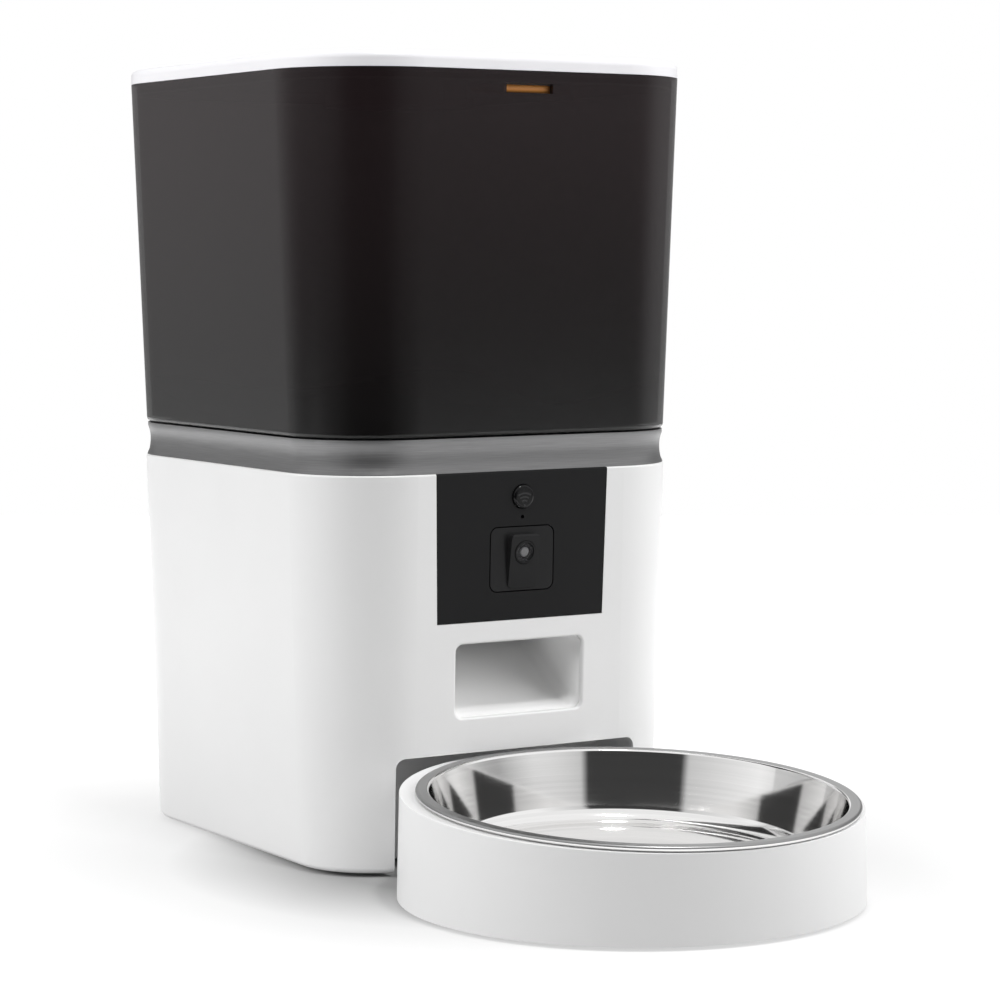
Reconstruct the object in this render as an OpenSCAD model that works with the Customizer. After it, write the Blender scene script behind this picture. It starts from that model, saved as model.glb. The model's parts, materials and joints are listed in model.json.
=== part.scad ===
// Automatic pet feeder with a camera: a drafted body with a well for the dispensing rotor,
// a lift-off smoked hopper with a latched lid, and a tilted steel bowl on its own stand.
// The front faces -Y, and the floor is at Z = 0.

/* [Body] */
// Half spacing of the corner arc centres, side to side
corner_x = 46.3; // [44:0.1:56]
// Half spacing of the corner arc centres, front to back
corner_y = 58.2; // [56:0.1:66]
// Corner radius at the foot of the body
base_r = 31.5; // [30:0.1:36]
// Corner radius at the top of the body
body_r = 36; // [34:0.1:40]
// Height of the body, without its feet
body_h = 151; // [148:0.5:165]
// Wall of the body
body_wall = 2.4; // [2:0.1:3]
// Radius of the bottom edge of the body
base_edge = 2; // [0.5:0.1:2]
// Radius of the top edge of the body
top_edge = 0.9; // [0.4:0.1:1.4]
// Height of the rubber feet below the body
foot_h = 1.2; // [0.8:0.1:3]
// Diameter of a rubber foot
foot_d = 16; // [10:0.5:18]

/* [Neck] */
// Height of the waisted neck
neck_h = 13.4; // [11:0.1:16]
// Step from the body's edge in to the neck
neck_step = 0.8; // [0.4:0.1:1.5]
// Depth of the waist in the neck
neck_dip = 1; // [0.5:0.1:1.6]
// Wall of the neck
neck_wall = 2.2; // [1.6:0.1:3]

/* [Hopper] */
// Step from the body's top edge in to the hopper's foot
hopper_step = 0.4; // [0.2:0.1:1]
// How far the hopper widens from its foot to its rim
hopper_flare = 5.2; // [3:0.1:8]
// Height of the hopper
hopper_h = 137.6; // [110:0.5:170]
// Wall of the hopper
hopper_wall = 2.2; // [1.8:0.1:2.6]
// Thickness of the hopper's floor flange
hopper_floor = 2.4; // [2:0.1:4]
// Radius of the hopper's bottom edge
hopper_edge = 1.8; // [0.5:0.1:2]

/* [Lid] */
// Height of the lid above the hopper's rim
lid_h = 6; // [5:0.1:10]
// Radius of the lid's top edge
lid_edge = 2.6; // [1:0.1:3]
// Thickness of the lid's top and side walls
lid_wall = 2.2; // [1.6:0.1:2.6]
// Depth of the skirt inside the hopper
skirt_h = 4.4; // [3.4:0.1:4.4]
// Thickness of the skirt
skirt_t = 2; // [1.6:0.1:3]
// Radius of the desiccant box
desiccant_r = 30; // [20:0.5:34]
// Depth of the desiccant box
desiccant_h = 10; // [6:0.5:16]

/* [Latch] */
// Width of the latch slot in the hopper
slot_w = 20.6; // [14:0.1:26]
// Height of the latch slot
slot_h = 3.6; // [3:0.1:4]
// Distance of the slot's top below the hopper's rim
slot_drop = 4.7; // [4.7:0.1:8]
// Width of the latch bar behind the wall
latch_w = 44; // [34:0.5:50]
// Length of the latch bar, front to back
latch_l = 18; // [12:0.5:24]

/* [Front panel] */
// Width of the panel at its top
panel_top_w = 77; // [70:0.1:84]
// Width of the panel at its foot
panel_foot_w = 74.4; // [68:0.1:82]
// Height of the panel, down from the body's top
panel_h = 57.2; // [55:0.1:60]
// Flange behind the wall around the panel
panel_flange = 3; // [2:0.1:3.5]
// Thickness of that flange
flange_t = 1.6; // [1.2:0.1:2]
// Diameter of the button
button_d = 9.3; // [8:0.1:12]
// Distance of the button's centre below the body's top
button_drop = 10; // [9.5:0.1:11]
// How far the button stands proud
button_proud = 1.3; // [1:0.1:2]
// Travel of the button
button_travel = 0.7; // [0.4:0.1:0.8]
// Diameter of the microphone hole
mic_d = 1.5; // [1:0.1:2]
// Distance of the microphone hole below the body's top
mic_drop = 17.8; // [17:0.1:18.5]

/* [Camera] */
// Width of the camera pod
pod_w = 29; // [26:0.1:34]
// Height of the camera pod
pod_h = 25.3; // [24:0.1:26]
// Corner radius of the camera pod
pod_r = 3.5; // [2:0.1:5]
// Height of the pod's foot above the panel's foot
pod_rise = 10.7; // [9:0.1:11]
// Width of the lens hood
hood_w = 12.8; // [11:0.1:16]
// Height of the lens hood
hood_h = 20.9; // [18:0.1:22]
// How far the hood stands proud at its top
hood_top = 3.2; // [2:0.1:5]
// How far the hood stands proud at its foot
hood_foot = 0.4; // [0.2:0.1:1]
// Bevel along the hood's top edge
hood_bevel = 0.9; // [0.4:0.1:1.4]
// Height of the lens centre above the hood's foot
lens_up = 14; // [11:0.1:15]
// Diameter of the lens ring
lens_ring_d = 9; // [8:0.1:10]
// Diameter of the lens
lens_d = 6.4; // [4:0.1:7]

/* [Chute] */
// Width of the chute mouth
mouth_w = 57.3; // [50:0.1:64]
// Height of the mouth's foot above the bay
mouth_rise = 13.5; // [12:0.1:16]
// Distance of the mouth's top below the panel
mouth_gap = 8.3; // [6:0.1:12]
// Corner radius of the mouth
mouth_r = 3; // [2:0.1:6]
// Radius of the edge round the mouth
mouth_edge = 0.9; // [0.4:0.1:1.4]
// Wall of the chute
chute_wall = 2; // [1.6:0.1:2.6]

/* [Stand bay] */
// Width of the bay in the body's front
bay_w = 108; // [96:0.5:112]
// Height of the bay
bay_h = 43.6; // [42:0.1:48]
// Depth of the bay, from the body's foot
bay_d = 26; // [20:0.5:28]
// Radius of the bay's top corners
bay_r = 4; // [2:0.1:8]

/* [Stand] */
// Radius of the stand at its foot
stand_r = 85.6; // [84:0.1:90]
// Distance from the body's axis to the stand's axis
stand_reach = 168.3; // [168:0.1:180]
// Draft of the stand's wall, in degrees
stand_draft = 1.4; // [0:0.1:3]
// Wall of the stand
stand_wall = 2.4; // [2:0.1:3]
// Tilt of the stand's top, in degrees
rim_tilt = 3.2; // [2:0.05:5]
// Height of the bowl's rim at its centre, above the stand's foot
rim_z = 38.4; // [37:0.1:39]
// How far the bowl sits in front of the stand's axis
rim_shift = 4.4; // [4:0.1:4.6]
// Width of the tongue that enters the bay
tongue_w = 64; // [40:1:80]
// Height of the tongue
tongue_h = 16; // [10:0.5:20]

/* [Bowl] */
// Step from the stand's foot edge in to the bowl's rim
bowl_inset = 4.6; // [4.6:0.1:9]
// Width of the bowl's flat rim
bowl_rim_w = 4.8; // [4.6:0.1:8]
// Depth of the bowl
bowl_depth = 27; // [20:0.1:29]
// Draft of the bowl's wall, in degrees
bowl_draft = 11; // [3:0.5:12]
// Radius between the bowl's wall and its floor
bowl_fillet = 7; // [4:0.5:14]
// Radius of the bend from the bowl's wall out to its rim
lip_r = 2.4; // [1.4:0.1:2.8]
// Thickness of the steel
steel_t = 0.9; // [0.6:0.1:1.2]
// Radius of the rolled edge
roll_r = 1; // [0.8:0.1:1.4]

/* [Dispenser] */
// Inside radius of the rotor chamber
chamber_r = 50; // [44:0.5:52]
// Wall of the rotor pan and of the well
pan_wall = 2.2; // [1.8:0.1:2.6]
// Height of the rotor flaps
flap_h = 26; // [20:0.5:30]
// Thickness of a rotor flap
flap_t = 2.6; // [1.6:0.1:4]
// Number of rotor flaps
flap_count = 6; // [4:1:8]
// Radius of the rotor hub
hub_r = 12; // [11:0.1:15]
// Slope of the funnel floor, in degrees
funnel_slope = 25; // [20:0.5:30]
// Depth of the well below the body's top
well_depth = 40.2; // [37:0.1:43]
// Half angle of the food outlet, in degrees
outlet_half = 28; // [20:1:30]

/* [Drive] */
// Module of the gears
gear_module = 0.8; // [0.7:0.05:0.9]
// Teeth of the drive gear
drive_teeth = 48; // [40:4:52]
// Teeth of the motor pinion
pinion_teeth = 12; // [12:1:14]
// Face width of the gears
gear_w = 6; // [4:0.5:8]
// Diameter of the drive shaft
shaft_d = 6; // [5:0.1:8]
// Width across the flats of the drive dog
dog_flats = 9; // [8.5:0.1:10]
// Diameter of the motor
motor_d = 27.6; // [20:0.1:30]
// Length of the motor
motor_l = 36; // [28:0.5:38]

/* [Fits] */
// Gap between parts that lift or slide apart
clearance = 0.3; // [0.25:0.05:0.4]
// Radial gap of a turning shaft in its bearing
shaft_gap = 0.05; // [0.02:0.01:0.1]
// Gap around parts that are fixed in a window
seam = 0.15; // [0.1:0.05:0.25]
// Gap around the camera pod
pod_gap = 0.45; // [0.15:0.05:0.6]

/* [Hidden] */
$fn = 96;
white = [0.93, 0.93, 0.92];
grey = [0.55, 0.55, 0.56];
black = [0.06, 0.06, 0.065];
smoke = [0.16, 0.14, 0.14];
amber = [0.72, 0.47, 0.25];
steel = [0.75, 0.75, 0.76];
board_green = [0.1, 0.3, 0.18];
rubber = [0.2, 0.2, 0.2];
eps = 0.01;

// Heights
body_top = foot_h + body_h;
panel_z = body_h - panel_h;
button_z = body_h - button_drop;
mic_z = body_h - mic_drop;
pod_z = panel_z + pod_rise;
mouth_z = bay_h + mouth_rise;
mouth_h = panel_z - mouth_gap - mouth_z;
hopper_z = body_top + neck_h;
hopper_top = hopper_z + hopper_h;
lid_z = hopper_top + clearance / 2;
lid_top = hopper_top + lid_h;
well_floor = body_top - well_depth;
well_under = well_floor - pan_wall;

// Radii that follow the body and the stand
hopper_foot_r = body_r - hopper_step;
hopper_rim_r = hopper_foot_r + hopper_flare;
bowl_r = stand_r - bowl_inset;
bowl_mouth_r = bowl_r - bowl_rim_w;

// The body's axis lies behind the middle of the whole length
back_reach = corner_y + hopper_rim_r;
axis_y = (stand_reach + stand_r - back_reach) / 2;

// Drafted walls: the corner radius at a height
draft = atan((body_r - base_r) / body_h);
function body_at(z) = base_r + (body_r - base_r) * (z - foot_h) / body_h;
function hopper_at(z) = hopper_foot_r + (hopper_rim_r - hopper_foot_r) * (z - hopper_z) / hopper_h;
function inside_at(z) = hopper_at(z) - hopper_wall;
function front_y(z) = -corner_y - body_at(z);

// Deck and its ledge
deck_t = 2.4;
ledge_t = 3;
ledge_w = 3;
deck_z = body_top - deck_t;

// Dispenser
pan_floor = well_floor + 4;
chamber_out = chamber_r + pan_wall;
well_r = chamber_out + 2 * clearance;
funnel_rise = tan(funnel_slope);
flange_top = hopper_z + hopper_floor;
floor_hole_r = corner_x + inside_at(hopper_z) - 1;
funnel_z = flange_top + pan_wall - (floor_hole_r - chamber_r) * funnel_rise;
hub_foot = pan_floor + clearance;
flap_z = pan_floor + 1;
hub_top = flap_z + flap_h;
journal_r = hub_r - 3;
hub_flange_r = hub_r + 2;
outlet_out = chamber_r - 2;
roof_t = 2;

// Drive
drive_r = gear_module * drive_teeth / 2;
pinion_r = gear_module * pinion_teeth / 2;
gear_gap = drive_r + pinion_r;
case_wall = 2;
case_r = drive_r + gear_module + 1 + case_wall;
chute_back = -case_r - 1 - chute_wall;
outlet_in = -chute_back / cos(outlet_half);
case_h = gear_w + 8;
case_floor = well_under - case_h;
gear_z = case_floor + case_wall + 2;
dog_h = 9;
motor_shaft_r = 1.2;

// Front panel, in the plane of the front wall
panel_base = foot_h + panel_z;
panel_up = (body_top - panel_base) / cos(draft) - seam;
panel_t = body_wall + flange_t;
function up(z) = (foot_h + z - panel_base) / cos(draft);
hood_lean = atan((hood_top - hood_foot) / hood_h);
hood_at = up(pod_z) + (pod_h - hood_h) / 2 - 0.8;
button_flange = 1;
board_t = 1.2;
switch_top = panel_t + seam + button_flange + button_travel + 0.05;
switch_h = 2.6;
board_at = switch_top + switch_h;
post_r = 2.2;
post_x = 11;

// Latch
slot_top = hopper_top - slot_drop;
latch_face = -corner_y - inside_at(slot_top - slot_h) + clearance;
rail_t = 2;
latch_bar_h = slot_h - 2 * clearance;
latch_z = slot_top - slot_h + clearance;

// Base plate, its posts and screws
plate_z = foot_h + 0.4;
plate_t = 2.4;
plate_top = plate_z + plate_t;
plate_r = base_r - body_wall - seam;
boss_r = 4;
boss_h = 24;
pilot_r = 1.4;
side_boss_x = corner_x + plate_r - boss_r - 1;
side_boss_y = 40;
board_w = 64;
board_l = 40;
chip_w = 14;
rear_boss_x = board_w / 2 + boss_r + 4;
rear_boss_y = corner_y + plate_r - boss_r - 1;
screw_spots = [[side_boss_x, side_boss_y], [-side_boss_x, side_boss_y], [side_boss_x, -side_boss_y],
               [-side_boss_x, -side_boss_y], [rear_boss_x, rear_boss_y], [-rear_boss_x, rear_boss_y]];
screw_head_r = 2.6;
screw_head_h = 1.4;
screw_l = 12;
foot_spots = [for (x = [-1, 1], y = [-1, 1]) [x * (corner_x + 12), y * (corner_y - 4) + (y < 0 ? 12 : 0)]];
foot_sunk = 1;
board_z = plate_top + 5;
main_t = 1.6;
main_y = corner_y + base_r - body_wall - board_l - 6;
board_spots = [for (x = [-1, 1], y = [4, board_l - 4]) [x * (board_w / 2 - 5), main_y + y]];
jack_w = 9;
jack_h = 3.3;
jack_l = 8;
jack_z = board_z + main_t;

// Bay and stand
bay_back = front_y(foot_h) + bay_d;
cone_h = 2 * rim_z;
stand_top_r = stand_r - cone_h * tan(stand_draft);
base_ring_w = 21;
rim_height = foot_h + rim_z;
seat_drop = 2 * roll_r + clearance;
seat_r = bowl_mouth_r + steel_t + clearance;
seat_t = 2.4;
speaker_z = foot_h + body_h / 2;
speaker_r = 19;
sensor_w = 5;

// Helper shapes
module at_axis() { translate([0, axis_y, 0]) children(); }

// Front plane of the body at a height: X right, Y up the wall, Z outwards
module front(z) { translate([0, front_y(z), z]) rotate([90 + draft, 0, 0]) children(); }

// A profile of radius and height, carried round a rounded rectangle, as a rule the body's
module sweep(half_x = corner_x, half_y = corner_y) {
    signs = [[1, 1], [-1, 1], [-1, -1], [1, -1]];
    for (k = [0 : 3])
        translate([signs[k][0] * half_x, signs[k][1] * half_y, 0])
            rotate(90 * k) rotate_extrude(angle = 90) children();
    for (turn = [0, 180]) rotate(turn) {
        translate([half_x, 0, 0]) rotate([90, 0, 0])
            linear_extrude(2 * half_y, center = true) children();
        translate([0, half_y, 0]) rotate([90, 0, 90])
            linear_extrude(2 * half_x, center = true) children();
    }
}

// Middle block inside the corner arc centres
module core(z0, z1) {
    translate([-corner_x, -corner_y, z0]) cube([2 * corner_x, 2 * corner_y, z1 - z0]);
}

// Full drafted block between two heights
module block(r0, z0, r1, z1) {
    sweep() polygon([[0, z0], [r0, z0], [r1, z1], [0, z1]]);
    core(z0, z1);
}

// What a rounded outer corner of a profile loses: side is 1 at the top, -1 at the bottom
module corner_loss(r, side) {
    difference() {
        translate([-r, side > 0 ? -r : -1]) square([r + 1, r + 1]);
        translate([-r, -side * r]) circle(r);
    }
}

module rounded(w, h, r) {
    translate([-w / 2 + r, -h / 2]) square([w - 2 * r, h]);
    translate([-w / 2, -h / 2 + r]) square([w, h - 2 * r]);
    for (x = [-1, 1], y = [-1, 1]) translate([x * (w / 2 - r), y * (h / 2 - r)]) circle(r);
}

// Ring sector of the food outlet, opening to the front
module sector(r_in, r_out, half) {
    far = 2 * r_out;
    intersection() {
        difference() {
            circle(r_out);
            circle(r_in);
        }
        polygon([[0, 0], [-far * tan(half), -far], [far * tan(half), -far]]);
    }
}

// Spur gear outline with involute flanks, thinned by the backlash
module gear(teeth, bore, tip) {
    pitch = gear_module * teeth / 2;
    base = pitch * cos(20);
    root = pitch - 1.25 * gear_module;
    top = pitch + tip * gear_module;
    backlash = 0.3;
    half = 90 / teeth + (tan(20) * 180 / PI - 20) - backlash / pitch * 90 / PI;
    function roll(r) = sqrt(max(0, r * r / base / base - 1)) * 180 / PI;
    function spread(r) = half - (roll(r) - acos(min(1, base / r)));
    low = max(base, root);
    flank = [for (i = [0 : 4]) low + (top - low) * i / 4];
    points = [for (k = [0 : teeth - 1]) let (a = 360 * k / teeth) each concat(
        [[root, a - spread(low)]],
        [for (r = flank) [r, a - spread(r)]],
        [for (i = [4 : -1 : 0]) [flank[i], a + spread(flank[i])]],
        [[root, a + spread(low)]])];
    difference() {
        polygon([for (p = points) p[0] * [cos(p[1]), sin(p[1])]]);
        circle(bore);
    }
}

// Body
module bay_cut(grow) {
    w = bay_w + 2 * grow;
    top = foot_h + bay_h + grow;
    back = bay_back + grow;
    reach = 40 - grow;
    translate([0, back, 0]) rotate([90, 0, 0]) linear_extrude(back + corner_y + reach) {
        translate([-w / 2, -1]) square([w, top + 1 - bay_r]);
        translate([-w / 2 + bay_r, -1]) square([w - 2 * bay_r, top + 1]);
        for (x = [-1, 1]) translate([x * (w / 2 - bay_r), top - bay_r]) circle(bay_r);
    }
}

module panel_outline(grow, top) {
    polygon([[-panel_foot_w / 2 - grow, -grow], [panel_foot_w / 2 + grow, -grow],
             [panel_top_w / 2 + grow, top], [-panel_top_w / 2 - grow, top]]);
}

module boss(spot) {
    translate([spot[0], spot[1], plate_top]) cylinder(r = boss_r, h = boss_h);
    side = abs(spot[0]) > abs(spot[1]) ? [sign(spot[0]), 0] : [0, 1];
    reach = boss_r + 1.4 + boss_h * tan(draft);
    translate([spot[0] + side[0] * reach / 2, spot[1] + side[1] * reach / 2, plate_top + boss_h / 2])
        cube([side[0] == 0 ? 3 : reach, side[1] == 0 ? 3 : reach, boss_h], center = true);
}

// Rounded edge of a window in the wall, as what it loses round a rounded rectangle
module edge_loss(half_x, half_y, r, edge) {
    sweep(half_x - r, half_y - r) difference() {
        translate([r - eps, -edge]) square([edge + eps, edge + 1]);
        translate([r + edge, -edge]) circle(edge);
    }
}

module body_shell() {
    grille_pitch = 5;
    color(white) at_axis() difference() {
        union() {
            sweep() difference() {
                union() {
                    polygon([[base_r - body_wall, foot_h], [base_r, foot_h],
                             [body_r, body_top], [body_r - body_wall, body_top]]);
                    translate([body_at(deck_z) - body_wall - ledge_w, deck_z - ledge_t])
                        square([ledge_w + body_wall / 2, ledge_t]);
                }
                translate([base_r, foot_h]) corner_loss(base_edge, -1);
                translate([body_r, body_top]) corner_loss(top_edge, 1);
            }
            for (spot = screw_spots) boss(spot);
        }
        bay_cut(0);
        front(panel_base) translate([0, 0, -body_wall - 1]) linear_extrude(body_wall + 6)
            panel_outline(seam, panel_up + 6);
        front(panel_base) translate([0, 0, -body_wall - ledge_w - 1]) linear_extrude(ledge_w + 1)
            panel_outline(panel_flange + seam, panel_up + 6);
        front(foot_h + mouth_z) translate([0, mouth_h / 2, -body_wall - 1]) linear_extrude(body_wall + 6)
            rounded(mouth_w, mouth_h, mouth_r);
        front(foot_h + mouth_z) translate([0, mouth_h / 2, 0])
            edge_loss(mouth_w / 2, mouth_h / 2, mouth_r, mouth_edge);
        rotate(180) front(speaker_z) translate([0, 0, -body_wall - 1]) linear_extrude(body_wall + 6)
            for (ring = [0 : 2], k = [0 : max(0, 6 * ring - 1)])
                rotate(60 * k / max(1, ring)) translate([ring * grille_pitch, 0]) circle(1.1);
        translate([0, corner_y + base_r, jack_z + jack_h / 2]) rotate([90, 0, 0])
            linear_extrude(4 * body_wall, center = true)
                rounded(jack_w + 2 * clearance, jack_h + 2 * clearance, jack_h / 2);
        for (spot = screw_spots) translate([spot[0], spot[1], plate_top - 1])
            cylinder(r = pilot_r, h = screw_l);
    }
}

// Recess behind the bay's window
module bay_liner() {
    gap = 0.05;
    inner = base_r - body_wall - gap;
    top = foot_h + bay_h + 2 * body_wall;
    color(grey) at_axis() difference() {
        intersection() {
            bay_cut(body_wall);
            block(inner, foot_h, inner + (top - foot_h) * tan(draft), top);
        }
        bay_cut(0);
    }
}

module neck_ring() {
    top = hopper_z - clearance;
    out = body_r - neck_step;
    lip = 1.4;
    span = top - body_top - 2 * lip;
    bend = (span * span / 4 + neck_dip * neck_dip) / (2 * neck_dip);
    inner = out - neck_dip - neck_wall;
    flange = 4;
    color(grey) at_axis() sweep() difference() {
        union() {
            translate([inner, body_top]) square([out - inner, top - body_top]);
            translate([inner - flange, body_top]) square([flange + eps, neck_wall]);
        }
        translate([out - neck_dip + bend, body_top + lip + span / 2]) circle(bend);
    }
}

module deck_well() {
    r = body_at(deck_z) - body_wall - seam;
    notch = panel_top_w / 2 + panel_flange + 1;
    well_out = well_r + pan_wall;
    color(white) at_axis() difference() {
        union() {
            block(r, deck_z, r, body_top);
            translate([0, 0, well_under]) cylinder(r = well_out, h = body_top - well_under);
        }
        translate([0, 0, well_floor]) cylinder(r = well_r, h = body_h);
        translate([0, 0, well_under - 1]) cylinder(r = shaft_d / 2 + shaft_gap, h = 2 * pan_wall);
        translate([0, 0, well_under - 1]) linear_extrude(2 * pan_wall)
            sector(outlet_in, outlet_out, outlet_half);
        translate([-notch, front_y(body_top) - 1, deck_z - 1])
            cube([2 * notch, body_wall + ledge_w + 2, deck_t + 2]);
    }
}

module base_plate() {
    r = plate_r;
    color(grey) at_axis() difference() {
        union() {
            block(r, plate_z, r, plate_top);
            for (spot = board_spots) translate([spot[0], spot[1], plate_top - eps])
                cylinder(r = 3, h = board_z - plate_top + eps);
        }
        bay_cut(body_wall + clearance);
        for (spot = screw_spots) translate([spot[0], spot[1], 0]) {
            cylinder(r = pilot_r + 0.2, h = plate_top + 1);
            cylinder(r = screw_head_r + 0.2, h = plate_z + screw_head_h);
        }
        for (spot = foot_spots) translate([spot[0], spot[1], 0])
            cylinder(r = foot_d / 2 + seam, h = plate_z + foot_sunk);
        for (spot = board_spots) translate([spot[0], spot[1], plate_top - 1])
            cylinder(r = 1.1, h = board_z);
    }
}

module rubber_feet() {
    color(rubber) at_axis() for (spot = foot_spots) translate([spot[0], spot[1], 0])
        difference() {
            cylinder(r = foot_d / 2, h = plate_z + foot_sunk);
            translate([0, 0, -1]) cylinder(r = foot_d / 4, h = 1.4);
        }
}

module screw(head_r, head_h, r, l) {
    difference() {
        cylinder(r = head_r, h = head_h);
        for (turn = [0, 90]) rotate(turn) translate([-0.4, -1.6, -1]) cube([0.8, 3.2, 1.8]);
    }
    cylinder(r = r, h = l);
}

module base_screws() {
    color(steel) at_axis() for (spot = screw_spots) translate([spot[0], spot[1], plate_z + 0.1])
        screw(screw_head_r, screw_head_h - 0.1, pilot_r - shaft_gap, screw_l - 2);
}

// Front panel, button and camera
module front_panel() {
    color(black) at_axis() front(panel_base) difference() {
        union() {
            translate([0, 0, -panel_t]) linear_extrude(panel_t) panel_outline(0, panel_up);
            translate([0, 0, -panel_t]) linear_extrude(flange_t) panel_outline(panel_flange, panel_up);
            for (x = [-1, 1]) translate([x * post_x, up(button_z), -board_at])
                cylinder(r = post_r, h = board_at - panel_t + eps);
        }
        translate([0, up(button_z), -2 * panel_t]) cylinder(r = button_d / 2 + seam, h = 3 * panel_t);
        translate([0, up(mic_z), -2 * panel_t]) cylinder(r = mic_d / 2, h = 3 * panel_t);
        translate([0, up(pod_z) + pod_h / 2, -2 * panel_t]) linear_extrude(3 * panel_t)
            rounded(pod_w, pod_h, pod_r);
        translate([0, panel_up + seam, 0]) rotate([0, -90, 0])
            linear_extrude(2 * panel_top_w, center = true) corner_loss(top_edge, 1);
    }
}

module feed_button() {
    cap_edge = 1.1;
    color(black) at_axis() front(panel_base) translate([0, up(button_z), 0]) rotate_extrude() difference() {
        union() {
            translate([0, -panel_t - seam - button_flange])
                square([button_d / 2, panel_t + seam + button_flange + button_proud]);
            translate([0, -panel_t - seam - button_flange]) square([button_d / 2 + 1.4, button_flange]);
        }
        translate([button_d / 2, button_proud]) corner_loss(cap_edge, 1);
    }
}

module hood_plane() {
    translate([0, hood_at, hood_foot]) rotate([hood_lean, 0, 0]) children();
}

module camera_pod() {
    rim = 2;
    lens_bore = lens_d / 2 - 0.6;
    color(black) at_axis() front(panel_base) difference() {
        union() {
            translate([0, up(pod_z) + pod_h / 2, -panel_t]) linear_extrude(panel_t)
                rounded(pod_w - 2 * pod_gap, pod_h - 2 * pod_gap, pod_r - pod_gap);
            translate([0, up(pod_z) + pod_h / 2, -panel_t - flange_t]) linear_extrude(flange_t)
                rounded(pod_w + 2 * rim, pod_h + 2 * rim, pod_r + rim);
            difference() {
                intersection() {
                    translate([0, hood_at + hood_h / 2, -1]) linear_extrude(hood_top + 1)
                        rounded(hood_w, hood_h, 2);
                    hood_plane() translate([-hood_w, -hood_h, -3 * hood_h])
                        cube([2 * hood_w, 3 * hood_h, 3 * hood_h]);
                }
                translate([0, hood_at + hood_h, hood_top]) rotate([45, 0, 0])
                    cube([2 * hood_w, sqrt(2) * hood_bevel, sqrt(2) * hood_bevel], center = true);
            }
        }
        hood_plane() translate([0, lens_up, -1]) cylinder(r = lens_ring_d / 2 + seam, h = 3);
        hood_plane() translate([0, lens_up, -20]) cylinder(r = lens_bore, h = 22);
    }
}

module lens_ring() {
    height = 1.35;
    color(black) at_axis() front(panel_base) hood_plane() translate([0, lens_up, -1])
        rotate_extrude() difference() {
            translate([lens_d / 2 + seam, 0]) square([lens_ring_d / 2 - lens_d / 2 - seam, height]);
            translate([lens_ring_d / 2, height]) corner_loss(0.3, 1);
        }
}

module camera_lens() {
    crown = 12;
    color(smoke) at_axis() front(panel_base) hood_plane() translate([0, lens_up, -1]) intersection() {
        cylinder(r = lens_d / 2, h = 1.3);
        translate([0, 0, 1.2 - crown]) sphere(crown);
    }
}

module camera_board() {
    w = pod_w - 4;
    h = pod_h - 4;
    at = panel_t + flange_t + 5;
    centre = up(pod_z) + pod_h / 2;
    color(board_green) at_axis() front(panel_base) {
        translate([0, centre, -at - board_t]) linear_extrude(board_t) rounded(w, h, 1);
        translate([0, hood_at + lens_up, -at]) linear_extrude(5 - seam) rounded(9, 9, 1);
        for (x = [-1, 1], y = [-1, 1])
            translate([x * (w / 2 - 2), centre + y * (h / 2 - 2), -at]) cylinder(r = 1.5, h = 5);
    }
}

module control_board() {
    w = 2 * (post_x + post_r + 2);
    h = 12;
    color(board_green) at_axis() front(panel_base) translate([0, up(button_z), 0]) {
        translate([-w / 2, -h / 2 - 2, -board_at - board_t]) cube([w, h, board_t]);
        translate([-3, -3, -board_at]) cube([6, 6, switch_h - 0.8]);
        translate([0, 0, -board_at]) cylinder(r = 1.7, h = switch_h);
    }
}

// Chute
module food_chute() {
    half = mouth_w / 2 + 0.4;
    lip_z = foot_h + mouth_z - 0.4;
    top_z = foot_h + mouth_z + mouth_h + 0.4;
    y0 = front_y(lip_z) + body_wall;
    y2 = chute_back;
    y3 = -outlet_out - 2;
    bend = [y0 + 0.55 * (y2 - y0), lip_z + 8];
    steps = 10;
    ramp = [for (i = [0 : steps]) let (t = i / steps)
        (1 - t) * (1 - t) * [y0, lip_z] + 2 * t * (1 - t) * bend + t * t * [y2, well_under]];
    roof = [[y3, well_under], [y3 - 8, top_z], [y0, top_z]];
    color(white) at_axis() difference() {
        rotate([90, 0, 90]) linear_extrude(2 * (half + chute_wall), center = true)
            polygon(concat([for (p = ramp) p - [-0.6 * chute_wall, chute_wall]],
                           [[y2 + 0.6 * chute_wall, well_under]],
                           [[y3 - chute_wall, well_under], [y3 - 8 - chute_wall, top_z + chute_wall],
                            [y0 - 6, top_z + chute_wall], [y0 - 6, lip_z - chute_wall]]));
        rotate([90, 0, 90]) linear_extrude(2 * half, center = true)
            polygon(concat([[y0 - 8, lip_z]], ramp, [[y2, well_under + 1], [y3, well_under + 1]],
                           roof, [[y0 - 8, top_z]]));
        front(foot_h) translate([-half - 10, 0, -body_wall]) cube([2 * half + 20, body_h, 20]);
    }
}

module food_sensors() {
    side = mouth_w / 2 + 0.4 + chute_wall;
    color(board_green) at_axis() for (x = [-1, 1])
        translate([x * (side + sensor_w / 2), front_y(foot_h + mouth_z) + 5 * sensor_w,
                   foot_h + mouth_z + 0.7 * mouth_h])
            cube([sensor_w, 2 * sensor_w, 1.2 * sensor_w], center = true);
}

// Drive
module gearbox_case() {
    r2 = pinion_r + 2 * gear_module + 1 + case_wall;
    module outline(loss) {
        circle(case_r - loss);
        translate([0, gear_gap]) circle(r2 - loss);
        translate([-r2 + loss, 0]) square([2 * (r2 - loss), gear_gap]);
    }
    color(grey) at_axis() difference() {
        translate([0, 0, case_floor]) linear_extrude(case_h) outline(0);
        translate([0, 0, case_floor + case_wall]) linear_extrude(case_h) outline(case_wall);
        translate([0, 0, case_floor - 1]) cylinder(r = shaft_d / 2 + shaft_gap, h = case_h);
        translate([0, gear_gap, case_floor - 1]) cylinder(r = motor_shaft_r + shaft_gap, h = case_h);
    }
}

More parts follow.
